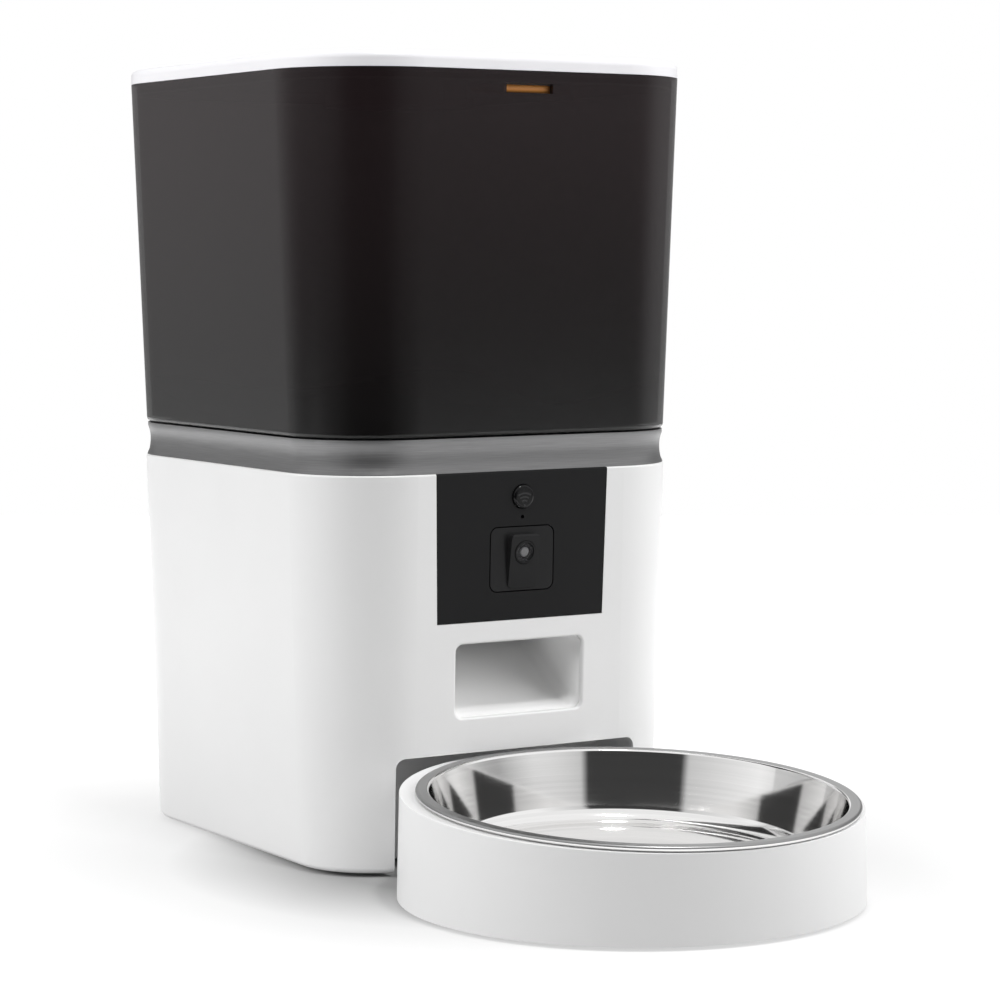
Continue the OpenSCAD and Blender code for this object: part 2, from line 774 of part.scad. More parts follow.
module drive_motor() {
    edge = 1.5;
    color(steel) at_axis() translate([0, gear_gap, case_floor - motor_l]) difference() {
        rotate_extrude() difference() {
            square([motor_d / 2, motor_l]);
            translate([motor_d / 2, motor_l]) corner_loss(edge, 1);
            translate([motor_d / 2, 0]) corner_loss(edge, -1);
        }
        translate([0, 0, motor_l - 10]) cylinder(r = motor_shaft_r + shaft_gap, h = 11);
    }
}

module motor_pinion() {
    reach = 8;
    color(white) at_axis() translate([0, gear_gap, 0]) {
        translate([0, 0, gear_z - 0.5]) linear_extrude(gear_w + 1) rotate(180 / pinion_teeth)
            gear(pinion_teeth, 0, 1);
        translate([0, 0, case_floor - reach]) cylinder(r = motor_shaft_r, h = gear_z - case_floor + reach);
    }
}

module drive_gear() {
    web = 2;
    color(white) at_axis() translate([0, 0, gear_z]) difference() {
        linear_extrude(gear_w) gear(drive_teeth, shaft_d / 2 + shaft_gap, 0.8);
        translate([0, 0, web]) difference() {
            cylinder(r = drive_r - 3, h = gear_w);
            translate([0, 0, -1]) cylinder(r = shaft_d / 2 + 3, h = gear_w + 2);
        }
    }
}

module drive_shaft() {
    foot = case_floor - 1;
    collar = 0.3;
    color(steel) at_axis() {
        translate([0, 0, foot]) cylinder(r = shaft_d / 2, h = well_floor + collar - foot);
        translate([0, 0, well_floor + collar]) cylinder(r = dog_flats / sqrt(3), h = dog_h, $fn = 6);
        translate([0, 0, gear_z - 1 + collar]) cylinder(r = shaft_d / 2 + 2, h = 1 - collar);
    }
}

// Electronics in the base
module main_board() {
    color(board_green) at_axis() {
        difference() {
            translate([-board_w / 2, main_y, board_z]) cube([board_w, board_l, main_t]);
            for (spot = board_spots) translate([spot[0], spot[1], board_z - 1])
                cylinder(r = 1.4, h = main_t + 2);
        }
        translate([-chip_w / 2, main_y + board_l / 4, board_z + main_t]) cube([chip_w, chip_w, chip_w / 10]);
        translate([chip_w, main_y + board_l / 3, board_z + main_t]) cylinder(r = chip_w / 4, h = chip_w / 2);
        translate([-2 * chip_w, main_y + board_l / 3, board_z + main_t])
            cube([chip_w, chip_w / 2, chip_w / 3]);
    }
}

module power_jack() {
    shell = 0.5;
    y1 = corner_y + body_at(jack_z) - body_wall / 2;
    color(steel) at_axis() translate([0, y1, jack_z + jack_h / 2]) rotate([90, 0, 0]) {
        difference() {
            linear_extrude(jack_l) rounded(jack_w, jack_h, jack_h / 2 - 0.05);
            translate([0, 0, -1]) linear_extrude(jack_l)
                rounded(jack_w - 2 * shell, jack_h - 2 * shell, jack_h / 2 - shell - 0.05);
        }
        translate([-jack_w / 3, -0.4, 1]) cube([2 * jack_w / 3, 0.8, jack_l - 1 - eps]);
    }
}

module speaker() {
    color(black) at_axis() rotate(180) front(speaker_z) translate([0, 0, -body_wall]) rotate_extrude() {
        difference() {
            polygon(speaker_r * [[0, -0.74], [0.53, -0.74], [0.53, -0.47], [0.84, -0.16],
                                 [1, -0.16], [1, 0], [0, 0]]);
            polygon(speaker_r * [[0, -0.26], [0.21, -0.26], [0.84, -0.05], [0.84, 0.05], [0, 0.05]]);
        }
    }
}

module board_screws() {
    head_h = 1.4;
    color(steel) at_axis() for (spot = board_spots)
        translate([spot[0], spot[1], board_z + main_t + head_h]) mirror([0, 0, 1])
            screw(2.2, head_h, 1.1 - shaft_gap, 7);
}

// Hopper and rotor
module hopper() {
    color(smoke) at_axis() difference() {
        union() {
            sweep() difference() {
                polygon([[0, hopper_z], [hopper_foot_r, hopper_z],
                         [hopper_rim_r, hopper_top], [0, hopper_top]]);
                translate([hopper_foot_r, hopper_z]) corner_loss(hopper_edge, -1);
            }
            core(hopper_z, hopper_top);
        }
        block(inside_at(flange_top), flange_top, inside_at(hopper_top + 1), hopper_top + 1);
        translate([0, 0, hopper_z - 1]) cylinder(r = floor_hole_r, h = hopper_floor + 2);
        translate([-slot_w / 2, -back_reach - 1, slot_top - slot_h]) cube([slot_w, 3 * hopper_wall, slot_h]);
    }
}

module rotor_pan() {
    rim_r = inside_at(flange_top) - clearance;
    far = norm([corner_x, corner_y]) + rim_r;
    function slope_at(r) = funnel_z + (r - chamber_r) * funnel_rise;
    foot = pan_floor - pan_wall;
    color(white) at_axis() difference() {
        union() {
            intersection() {
                rotate_extrude() polygon([[0, foot], [chamber_out, foot],
                    [chamber_out, slope_at(chamber_out) - pan_wall], [far, slope_at(far) - pan_wall],
                    [far, slope_at(far)], [chamber_r, funnel_z], [chamber_r, pan_floor], [0, pan_floor]]);
                block(rim_r, foot - 1, rim_r, hopper_top);
            }
            intersection() {
                sweep() translate([rim_r - pan_wall, flange_top]) square([pan_wall, hopper_h / 2]);
                rotate_extrude()
                    polygon([[0, foot], [far, foot], [far, slope_at(far) - eps], [0, slope_at(0)]]);
            }
            translate([0, 0, funnel_z - roof_t]) linear_extrude(roof_t)
                sector(hub_flange_r + 1, chamber_r + pan_wall / 2, outlet_half + 12);
        }
        translate([0, 0, foot - 1]) cylinder(r = journal_r + shaft_gap, h = pan_wall + 2);
        translate([0, 0, foot - 1]) linear_extrude(pan_wall + 2) sector(outlet_in, outlet_out, outlet_half);
    }
}

module rotor_hub() {
    foot = pan_floor - pan_wall - 0.6;
    socket = dog_h + 1.5;
    color(white) at_axis() difference() {
        union() {
            translate([0, 0, foot]) cylinder(r = journal_r, h = hub_foot - foot + eps);
            translate([0, 0, hub_foot]) cylinder(r = hub_flange_r, h = flap_z - hub_foot);
            translate([0, 0, hub_foot]) cylinder(r = hub_r, h = hub_top - hub_foot);
        }
        translate([0, 0, foot - 1]) cylinder(r = dog_flats / sqrt(3) + clearance, h = socket, $fn = 6);
    }
}

module rotor_flaps() {
    sleeve = 2;
    tip = chamber_r - 1;
    color(amber) at_axis() translate([0, 0, flap_z]) difference() {
        union() {
            cylinder(r = hub_r + sleeve, h = flap_h);
            for (k = [0 : flap_count - 1]) rotate(360 * (k + 0.5) / flap_count) {
                translate([hub_r, -flap_t / 2, 0]) cube([tip - hub_r - flap_t / 2, flap_t, flap_h]);
                translate([tip - flap_t / 2, 0, 0]) cylinder(r = flap_t / 2, h = flap_h);
            }
        }
        translate([0, 0, -1]) cylinder(r = hub_r + shaft_gap, h = flap_h + 2);
    }
}

module rotor_cap() {
    cap_h = 10;
    color(white) at_axis() translate([0, 0, hub_top]) rotate_extrude() difference() {
        square([hub_r + 1.5, cap_h]);
        translate([hub_r + 1.5, cap_h]) corner_loss(cap_h - 2, 1);
    }
}

// Lid and latch
module lid() {
    r = hopper_rim_r;
    color(white) at_axis() difference() {
        union() {
            sweep() difference() {
                translate([0, lid_z]) square([r, lid_top - lid_z]);
                translate([r, lid_top]) corner_loss(lid_edge, 1);
            }
            core(lid_z, lid_top);
        }
        block(r - lid_wall, lid_z - 1, r - lid_wall, lid_top - lid_wall);
    }
}

module lid_plate() {
    cover_r = hopper_rim_r - lid_wall - seam;
    skirt_out = inside_at(hopper_top - skirt_h) - 2 * clearance;
    plate_end = lid_z + 1.8;
    rail_x = latch_w / 2 + clearance;
    rail_y = latch_face + 4;
    rail_foot = latch_z - clearance - rail_t;
    groove = 1.2;
    color(white) at_axis() difference() {
        union() {
            block(cover_r, lid_z, cover_r, plate_end);
            sweep() translate([skirt_out - skirt_t, hopper_top - skirt_h])
                square([skirt_t, skirt_h + clearance]);
            for (x = [-1, 1]) {
                translate([x > 0 ? rail_x : -rail_x - rail_t, rail_y, rail_foot])
                    cube([rail_t, latch_l - 2, lid_z - rail_foot + eps]);
                translate([x > 0 ? rail_x - 2 * rail_t : -rail_x, rail_y, rail_foot])
                    cube([2 * rail_t, latch_l - 2, rail_t]);
            }
        }
        sweep() translate([skirt_out - groove, hopper_top - skirt_h + 1]) square([groove + 1, 2]);
    }
}

module lid_seal() {
    skirt_out = inside_at(hopper_top - skirt_h) - 2 * clearance;
    groove = 1.2;
    color(grey) at_axis() sweep() translate([skirt_out - groove, hopper_top - skirt_h + 1])
        square([groove + clearance, 2]);
}

module desiccant_box() {
    box_wall = 1.6;
    vents = 12;
    color(white) at_axis() difference() {
        translate([0, 0, lid_z - desiccant_h]) cylinder(r = desiccant_r, h = desiccant_h);
        translate([0, 0, lid_z - desiccant_h + box_wall])
            cylinder(r = desiccant_r - box_wall, h = desiccant_h);
        for (k = [0 : vents - 1]) rotate(360 * k / vents)
            translate([8, -1, lid_z - desiccant_h - 1]) cube([desiccant_r - 14, 2, box_wall + 2]);
    }
}

module lid_latch() {
    tab_w = slot_w - 2 * clearance;
    tab_l = 4 + clearance;
    color(amber) at_axis() {
        translate([-tab_w / 2, latch_face, latch_z]) cube([tab_w, tab_l, latch_bar_h]);
        translate([-latch_w / 2, latch_face + tab_l - 0.5, latch_z])
            cube([latch_w, latch_l - tab_l, latch_bar_h]);
    }
}

// Stand and bowl
module at_stand() { translate([0, axis_y - stand_reach, 0]) children(); }

module rim_frame() {
    at_stand() translate([0, -rim_shift, rim_height]) rotate([rim_tilt, 0, 0]) children();
}

module below_rim(drop) {
    rim_frame() translate([0, 0, -2 * stand_r - drop]) cylinder(r = 2 * stand_r, h = 2 * stand_r);
}

module stand_cone(loss) {
    at_stand() translate([0, 0, foot_h]) cylinder(r1 = stand_r - loss, r2 = stand_top_r - loss, h = cone_h);
}

module bowl_stand() {
    tongue_l = bay_back - clearance + stand_reach;
    color(white) difference() {
        union() {
            intersection() {
                stand_cone(0);
                below_rim(seat_drop);
            }
            at_stand() translate([-tongue_w / 2, 0, foot_h]) cube([tongue_w, tongue_l, tongue_h]);
        }
        intersection() {
            stand_cone(stand_wall);
            below_rim(seat_drop + seat_t);
        }
        at_stand() translate([0, 0, foot_h - 1]) cylinder(r = stand_r - stand_wall, h = 1.5);
        at_stand() translate([-tongue_w / 2 + stand_wall, stand_r, foot_h - 1])
            cube([tongue_w - 2 * stand_wall, tongue_l - stand_r - stand_wall, tongue_h - stand_wall + 1]);
        rim_frame() translate([0, 0, -rim_z]) cylinder(r = seat_r, h = 2 * rim_z);
    }
}

module stand_base() {
    r = stand_r - stand_wall - clearance;
    inner = r - base_ring_w;
    color(white) at_stand() translate([0, 0, foot_h]) difference() {
        cylinder(r = r, h = 2.4);
        translate([0, 0, -1]) cylinder(r = inner, h = 5);
    }
}

module stand_pads() {
    color(rubber) at_stand() for (k = [0 : 3]) rotate(45 + 90 * k)
        translate([stand_r - stand_wall - foot_d / 2 - 2, 0, 0]) cylinder(r = foot_d / 2 - 1, h = foot_h);
}

// Bent sheet: part of a ring between two directions, in degrees
module bent_sheet(centre, r_in, r_out, from, to) {
    far = 2 * r_out;
    middle = (from + to) / 2;
    translate(centre) intersection() {
        difference() {
            circle(r_out);
            circle(r_in);
        }
        polygon(far * [[0, 0], [cos(from), sin(from)], 2 * [cos(middle), sin(middle)], [cos(to), sin(to)]]);
    }
}

// Half section from the middle out: floor, round corner, drafted wall, bend, flat rim and rolled edge
module steel_bowl() {
    out = [cos(bowl_draft), -sin(bowl_draft)];
    low = bowl_fillet - bowl_depth;
    corner = [bowl_mouth_r + low * tan(bowl_draft) - bowl_fillet / cos(bowl_draft), low];
    bend = [bowl_mouth_r + lip_r * (1 / cos(bowl_draft) - tan(bowl_draft)), -lip_r];
    color(steel) rim_frame() rotate_extrude() {
        translate([0, -bowl_depth - steel_t]) square([corner[0], steel_t]);
        bent_sheet(corner, bowl_fillet, bowl_fillet + steel_t, -90, -bowl_draft);
        polygon([corner + bowl_fillet * out, corner + (bowl_fillet + steel_t) * out,
                 bend - (lip_r - steel_t) * out, bend - lip_r * out]);
        bent_sheet(bend, lip_r - steel_t, lip_r, 90, 180 - bowl_draft);
        translate([bend[0], -steel_t]) square([bowl_r - roll_r - bend[0], steel_t]);
        translate([bowl_r - roll_r, -roll_r]) circle(roll_r);
    }
}

body_shell();
bay_liner();
neck_ring();
deck_well();
base_plate();
rubber_feet();
base_screws();
front_panel();
camera_pod();
lens_ring();
camera_lens();
camera_board();
control_board();
feed_button();
food_chute();
food_sensors();
gearbox_case();
drive_motor();
motor_pinion();
drive_gear();
drive_shaft();
main_board();
power_jack();
speaker();
board_screws();
hopper();
rotor_pan();
rotor_hub();
rotor_flaps();
rotor_cap();
lid();
lid_plate();
lid_seal();
desiccant_box();
lid_latch();
bowl_stand();
stand_base();
stand_pads();
steel_bowl();
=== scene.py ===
import json
import math
import bmesh
import bpy
from mathutils import Matrix, Vector


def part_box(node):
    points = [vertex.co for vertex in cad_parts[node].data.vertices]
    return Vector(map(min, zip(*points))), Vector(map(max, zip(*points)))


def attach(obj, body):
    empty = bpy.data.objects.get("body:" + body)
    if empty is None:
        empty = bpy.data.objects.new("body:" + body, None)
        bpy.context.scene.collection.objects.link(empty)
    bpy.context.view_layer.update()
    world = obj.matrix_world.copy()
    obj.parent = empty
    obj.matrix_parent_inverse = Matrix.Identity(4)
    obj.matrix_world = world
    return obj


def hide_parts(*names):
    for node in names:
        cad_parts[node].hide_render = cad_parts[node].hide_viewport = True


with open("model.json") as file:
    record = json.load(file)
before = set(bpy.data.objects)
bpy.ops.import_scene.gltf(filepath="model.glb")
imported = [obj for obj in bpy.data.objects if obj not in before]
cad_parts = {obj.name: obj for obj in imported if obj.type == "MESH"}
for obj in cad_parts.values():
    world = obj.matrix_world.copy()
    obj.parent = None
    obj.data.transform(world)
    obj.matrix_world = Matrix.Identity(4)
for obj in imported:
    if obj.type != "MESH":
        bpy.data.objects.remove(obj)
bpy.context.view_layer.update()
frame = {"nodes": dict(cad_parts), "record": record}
nodes = frame["nodes"]
joints = {joint["name"]: joint for joint in frame["record"]["behaviour"]["joints"]}
print("frame loaded:", len(nodes), "nodes")

# Places read from the frame; the dictionaries below hold metres and degrees
axisY = joints["rotor_spin"]["pos_m"][1]
bowlAxis = Vector(joints["bowl_lift"]["axis"])
frontIn = Vector(joints["button_press"]["axis"])      # into the front wall
wallOut = -frontIn
wallUp = wallOut.cross(Vector((1, 0, 0)))
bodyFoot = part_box("body_shell")[0].z

# Mesh helpers
meshing = {"weld": 2e-6, "seam": 1e-7, "flatAngle": 0.3, "normalWeight": 80}


def addPiece(name, bm, body, material, replaced=(), smoothAngle=40):
    mesh = bpy.data.meshes.new(name)
    bmesh.ops.recalc_face_normals(bm, faces=bm.faces)
    bm.to_mesh(mesh)
    bm.free()
    mesh.shade_smooth()
    mesh.set_sharp_from_angle(angle=math.radians(smoothAngle))
    piece = bpy.data.objects.new(name, mesh)
    bpy.context.scene.collection.objects.link(piece)
    mesh.materials.append(material)
    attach(piece, body)
    if replaced:
        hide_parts(*replaced)
    return piece


def weighNormals(piece):
    weigh = piece.modifiers.new("weighted", "WEIGHTED_NORMAL")
    weigh.keep_sharp = True
    weigh.weight = meshing["normalWeight"]


def merged(nodeName):
    bm = bmesh.new()
    bm.from_mesh(nodes[nodeName].data)
    bmesh.ops.remove_doubles(bm, verts=bm.verts, dist=meshing["weld"])
    return bm


def roundEdges(bm, edges, width, segments):
    bmesh.ops.bevel(bm, geom=edges, offset=width, offset_type="OFFSET", segments=segments, profile=0.5,
                    affect="EDGES", clamp_overlap=True, material=-1)


def softened(nodeName, width, segments, sharpAngle, keep=None):
    # a merged copy of a frame node with its sharp edges rounded
    bm = merged(nodeName)
    flat = math.radians(meshing["flatAngle"])
    bmesh.ops.dissolve_limit(bm, angle_limit=flat, verts=bm.verts, edges=bm.edges)
    edges = [edge for edge in bm.edges if len(edge.link_faces) == 2
             and edge.calc_face_angle(0) > math.radians(sharpAngle) and (keep is None or keep(edge))]
    roundEdges(bm, edges, width, segments)
    return bm


def pulledVerts(extruded):
    return [item for item in extruded["geom"] if isinstance(item, bmesh.types.BMVert)]


def arcPoints(centre, radius, start, end, steps):
    turns = [math.radians(start + (end - start) * step / steps) for step in range(steps + 1)]
    return [(centre[0] + radius * math.cos(turn), centre[1] + radius * math.sin(turn)) for turn in turns]


def spunProfile(points, turns, closed=True):
    # a profile of radius and height, turned once round the local Z axis
    bm = bmesh.new()
    verts = [bm.verts.new((radius, 0, height)) for radius, height in points]
    edges = [bm.edges.new(pair) for pair in zip(verts, verts[1:])]
    if closed:
        edges.append(bm.edges.new((verts[-1], verts[0])))
    bmesh.ops.spin(bm, geom=verts + edges, axis=(0, 0, 1), cent=(0, 0, 0), angle=2 * math.pi, steps=turns,
                   use_merge=True)
    bmesh.ops.remove_doubles(bm, verts=bm.verts, dist=meshing["seam"])
    bmesh.ops.recalc_face_normals(bm, faces=bm.faces)
    return bm


# Material helpers
moulding = {"driftScale": 14, "bumpHeight": 0.0001}


def startMaterial(name, **values):
    material = bpy.data.materials.new(name)
    material.use_nodes = True
    tree = material.node_tree
    shader = tree.nodes["Principled BSDF"]
    for socket, value in values.items():
        shader.inputs[socket].default_value = value
    return material, tree, shader


def addNode(tree, kind, **values):
    node = tree.nodes.new(kind)
    for key, value in values.items():
        if key in node.inputs:
            node.inputs[key].default_value = value
        else:
            setattr(node, key, value)
    return node


def objectNoise(tree, scale, detail=2.0, stretch=(1, 1, 1)):
    place = addNode(tree, "ShaderNodeTexCoord")
    mapping = addNode(tree, "ShaderNodeMapping", Scale=stretch)
    noise = addNode(tree, "ShaderNodeTexNoise", Scale=scale, Detail=detail)
    tree.links.new(place.outputs["Object"], mapping.inputs["Vector"])
    tree.links.new(mapping.outputs["Vector"], noise.inputs["Vector"])
    return noise.outputs["Fac"]


def rampBetween(tree, source, low, high, start=0.35, end=0.65):
    ramp = addNode(tree, "ShaderNodeValToRGB")
    ramp.color_ramp.elements[0].position = start
    ramp.color_ramp.elements[1].position = end
    ramp.color_ramp.elements[0].color = low
    ramp.color_ramp.elements[1].color = high
    tree.links.new(source, ramp.inputs["Fac"])
    return ramp.outputs["Color"]


def rampStops(tree, source, stops):
    ramp = addNode(tree, "ShaderNodeValToRGB")
    while len(ramp.color_ramp.elements) < len(stops):
        ramp.color_ramp.elements.new(0.5)
    for element, (place, level) in zip(ramp.color_ramp.elements, stops):
        element.position = place
        element.color = (level, level, level, 1)
    tree.links.new(source, ramp.inputs["Fac"])
    return ramp.outputs["Color"]


def valueRange(tree, source, low, high, start=0.0, end=1.0, smooth=False):
    reach = addNode(tree, "ShaderNodeMapRange", interpolation_type="SMOOTHSTEP" if smooth else "LINEAR")
    for socket, value in (("From Min", start), ("From Max", end), ("To Min", low), ("To Max", high)):
        reach.inputs[socket].default_value = value
    tree.links.new(source, reach.inputs["Value"])
    return reach


def combined(tree, operation, first, second):
    node = addNode(tree, "ShaderNodeMath", operation=operation)
    tree.links.new(first, node.inputs[0])
    tree.links.new(second, node.inputs[1])
    return node.outputs["Value"]


def glossFrom(tree, shader, source, low, high):
    gloss = valueRange(tree, source, low, high)
    tree.links.new(gloss.outputs["Result"], shader.inputs["Roughness"])


def bumpFrom(tree, shader, source, strength, distance=moulding["bumpHeight"]):
    bump = addNode(tree, "ShaderNodeBump", Strength=strength, Distance=distance)
    tree.links.new(source, bump.inputs["Height"])
    tree.links.new(bump.outputs["Normal"], shader.inputs["Normal"])


def mouldedPlastic(name, colour, spread, rough, roughSpread, grain, height, **values):
    # moulded plastic: slow drift of tone, fine spark-eroded grain in the bump and gloss
    material, tree, shader = startMaterial(name, **values)
    low = tuple(channel * (1 - spread) for channel in colour) + (1,)
    high = tuple(min(1, channel * (1 + spread)) for channel in colour) + (1,)
    tone = rampBetween(tree, objectNoise(tree, moulding["driftScale"], detail=3), low, high)
    tree.links.new(tone, shader.inputs["Base Color"])
    fine = objectNoise(tree, grain)
    glossFrom(tree, shader, fine, rough - roughSpread, rough + roughSpread)
    bumpFrom(tree, shader, fine, height)
    return material


# Plain finishes: colour, drift of the tone, roughness and its spread, scale and bump of the grain
whiteFinish = mouldedPlastic("satinWhite", (0.80, 0.80, 0.80), 0.012, 0.36, 0.05, 1800, 0.12)
lidFinish = mouldedPlastic("lidWhite", (0.88, 0.875, 0.90), 0.01, 0.30, 0.04, 1800, 0.1)
# painted light: the chute's white is lighter than the body's satin white, so its shaded inside reads as
# bright as the body front
chuteLitFinish = mouldedPlastic("chuteLitWhite", (0.87, 0.87, 0.868), 0.01, 0.34, 0.04, 1800, 0.1)
panelFinish = mouldedPlastic("panelBlack", (0.0090, 0.0090, 0.0094), 0.08, 0.42, 0.05, 2200, 0.2,
                             **{"Specular IOR Level": 0.13})
podFinish = mouldedPlastic("podBlack", (0.0170, 0.0170, 0.0175), 0.08, 0.25, 0.04, 2200, 0.08,
                           **{"Specular IOR Level": 0.095})
buttonFinish = mouldedPlastic("buttonBlack", (0.0040, 0.0040, 0.0044), 0.08, 0.16, 0.03, 2200, 0.05,
                              **{"Specular IOR Level": 0.23})
symbolFinish = mouldedPlastic("symbolGrey", (0.028, 0.028, 0.029), 0.05, 0.45, 0.05, 1800, 0.1,
                              **{"Specular IOR Level": 0.2})
barrelFinish = mouldedPlastic("lensBarrel", (0.009, 0.009, 0.010), 0.1, 0.45, 0.05, 700, 0.02,
                              **{"Specular IOR Level": 0.3})
# painted reflection: the pupil's light grey stands in for the bright glint inside the lens
pupilGlintFinish = mouldedPlastic("lensPupilGlint", (0.24, 0.24, 0.245), 0.06, 0.40, 0.05, 700, 0.02)
amberFinish = mouldedPlastic("amberTab", (0.78, 0.32, 0.08), 0.06, 0.35, 0.05, 1500, 0.1,
                             **{"Specular IOR Level": 0.3})
rubberFinish = mouldedPlastic("softRubber", (0.05, 0.05, 0.052), 0.1, 0.72, 0.06, 1200, 0.3)
flapFinish = mouldedPlastic("flapRubber", (0.55, 0.25, 0.08), 0.06, 0.6, 0.06, 1200, 0.25)
greyFinish = mouldedPlastic("baseGrey", (0.62, 0.62, 0.62), 0.03, 0.5, 0.06, 1600, 0.25)
linerFinish = mouldedPlastic("linerGrey", (0.78, 0.78, 0.78), 0.04, 0.6, 0.06, 1600, 0.2)
gearFinish = mouldedPlastic("gearNylon", (0.76, 0.75, 0.71), 0.03, 0.42, 0.05, 1600, 0.12)
boardFinish = mouldedPlastic("solderResist", (0.012, 0.10, 0.04), 0.2, 0.4, 0.08, 900, 0.2)
plainSteel = mouldedPlastic("platedSteel", (0.58, 0.58, 0.60), 0.04, 0.34, 0.06, 900, 0.1, Metallic=1.0)
print("plain finishes ready")

smoke = {
    "alpha": 0.81, "specular": 0.46, "rough": (0.20, 0.28), "grain": 900, "bump": 0.06,
    # foot is the hopper's dark colour at the bottom; rim is the painted glow's lighter, warmer colour at the
    # lid
    "foot": (0.0042, 0.0040, 0.0040, 1), "rim": (0.0180, 0.0118, 0.0128, 1), "rise": (0.1, 1.0),
    "cloudScale": 9, "cloudHeight": 0.03,
}


def smokedPlastic():
    # dark see-through moulding: a little light passes each face; the colour is painted lighter and warmer
    # towards the lid, a painted glow for the light that shows through from the lid and the hopper's inside
    material, tree, shader = startMaterial("smokedHopper", IOR=1.5, Alpha=smoke["alpha"],
                                           **{"Specular IOR Level": smoke["specular"]})
    place = addNode(tree, "ShaderNodeTexCoord")
    split = addNode(tree, "ShaderNodeSeparateXYZ")
    tree.links.new(place.outputs["Object"], split.inputs["Vector"])
    height = addNode(tree, "ShaderNodeMath", operation="MULTIPLY_ADD")
    height.inputs[1].default_value = smoke["cloudHeight"]
    tree.links.new(objectNoise(tree, smoke["cloudScale"]), height.inputs[0])
    tree.links.new(split.outputs["Z"], height.inputs[2])
    low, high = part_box("hopper")
    rise = valueRange(tree, height.outputs["Value"], 0.0, 1.0, low.z, high.z)
    # painted glow: the tone gets lighter and warmer with height towards the lid
    paintedGlowTint = rampBetween(tree, rise.outputs["Result"], smoke["foot"], smoke["rim"], *smoke["rise"])
    tree.links.new(paintedGlowTint, shader.inputs["Base Color"])
    fine = objectNoise(tree, smoke["grain"])
    glossFrom(tree, shader, fine, *smoke["rough"])
    bumpFrom(tree, shader, fine, smoke["bump"])
    return material


brushed = {
    "metal": 0.85, "stretched": 0.2, "turned": 0.25, "streaks": (60, 60, 5200), "rough": (0.36, 0.46),
    "bump": 0.08, "dark": (0.180, 0.180, 0.182, 1), "light": (0.222, 0.222, 0.224, 1),
}


def brushedGrey():
    # silver grey neck with faint streaks running round it
    material, tree, shader = startMaterial("brushedNeck", Metallic=brushed["metal"],
                                           Anisotropic=brushed["stretched"],
                                           **{"Anisotropic Rotation": brushed["turned"]})
    along = addNode(tree, "ShaderNodeTangent", direction_type="RADIAL", axis="Z")
    tree.links.new(along.outputs["Tangent"], shader.inputs["Tangent"])
    streak = objectNoise(tree, 1, detail=3, stretch=brushed["streaks"])
    tone = rampBetween(tree, streak, brushed["dark"], brushed["light"])
    tree.links.new(tone, shader.inputs["Base Color"])
    glossFrom(tree, shader, streak, *brushed["rough"])
    bumpFrom(tree, shader, streak, brushed["bump"])
    return material


glass = {"alpha": 0.08, "grain": 500, "rough": (0.03, 0.06), "dark": (0.008, 0.008, 0.011, 1),
         "light": (0.011, 0.010, 0.014, 1)}


def clearGlass():
    material, tree, shader = startMaterial("lensGlass", IOR=1.5, Alpha=glass["alpha"])
    fine = objectNoise(tree, glass["grain"])
    tree.links.new(rampBetween(tree, fine, glass["dark"], glass["light"]), shader.inputs["Base Color"])
    glossFrom(tree, shader, fine, *glass["rough"])
    return material


# Bowl: spun steel with a rolled edge, flat brushed rim, drafted wall and round corner
bowl = {
    "rim": 0.0810, "roll": 0.0010, "mouth": 0.0762, "bend": 0.0012, "depth": 0.0270, "draft": 11.0,
    "corner": 0.0070, "sheet": 0.0009, "turns": 192,
    "support": 0.0006, "floorRings": (0.02, 0.04), "footRing": 0.03, "rimShare": 0.4,
    "cornerSteps": 12, "bendSteps": 10, "rollSteps": 16, "underBendSteps": 8, "underCornerSteps": 10,
}
steel = {"dark": 0.93, "roughShare": (0.6, 1.4), "bump": 0.00005}
bowlLow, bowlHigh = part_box("steel_bowl")
bowlTilt = math.asin(-bowlAxis.y)
rollOut = bowl["rim"] - bowl["roll"]
bowlCentre = Vector((0, (bowlLow.y + bowlHigh.y) / 2 - bowl["roll"] * math.sin(bowlTilt),
                     bowlHigh.z - rollOut * math.sin(bowlTilt) - bowl["roll"] * (1 - math.cos(bowlTilt))))
bowlPlace = Matrix.Translation(bowlCentre) @ Matrix.Rotation(bowlTilt, 4, "X")


def turnedSteel(name, colour, rough, lines, height):
    # steel turned or brushed round the bowl's own axis
    material, tree, shader = startMaterial(name, Metallic=1.0)
    place = addNode(tree, "ShaderNodeTexCoord")
    mapping = addNode(tree, "ShaderNodeMapping", vector_type="TEXTURE", Location=bowlCentre,
                      Rotation=(bowlTilt, 0, 0))
    tree.links.new(place.outputs["Object"], mapping.inputs["Vector"])
    split = addNode(tree, "ShaderNodeSeparateXYZ")
    tree.links.new(mapping.outputs["Vector"], split.inputs["Vector"])
    flat = addNode(tree, "ShaderNodeCombineXYZ")
    tree.links.new(split.outputs["X"], flat.inputs["X"])
    tree.links.new(split.outputs["Y"], flat.inputs["Y"])
    radius = addNode(tree, "ShaderNodeVectorMath", operation="LENGTH")
    tree.links.new(flat.outputs["Vector"], radius.inputs[0])
    ringed = addNode(tree, "ShaderNodeCombineXYZ")
    tree.links.new(radius.outputs["Value"], ringed.inputs["X"])
    tree.links.new(split.outputs["Z"], ringed.inputs["Y"])
    streak = addNode(tree, "ShaderNodeTexNoise", Scale=lines, Detail=3.0)
    tree.links.new(ringed.outputs["Vector"], streak.inputs["Vector"])
    dark = tuple(channel * steel["dark"] for channel in colour) + (1,)
    tone = rampBetween(tree, streak.outputs["Fac"], dark, colour + (1,))
    tree.links.new(tone, shader.inputs["Base Color"])
    glossFrom(tree, shader, streak.outputs["Fac"], *(rough * share for share in steel["roughShare"]))
    bumpFrom(tree, shader, streak.outputs["Fac"], height, steel["bump"])
    return material


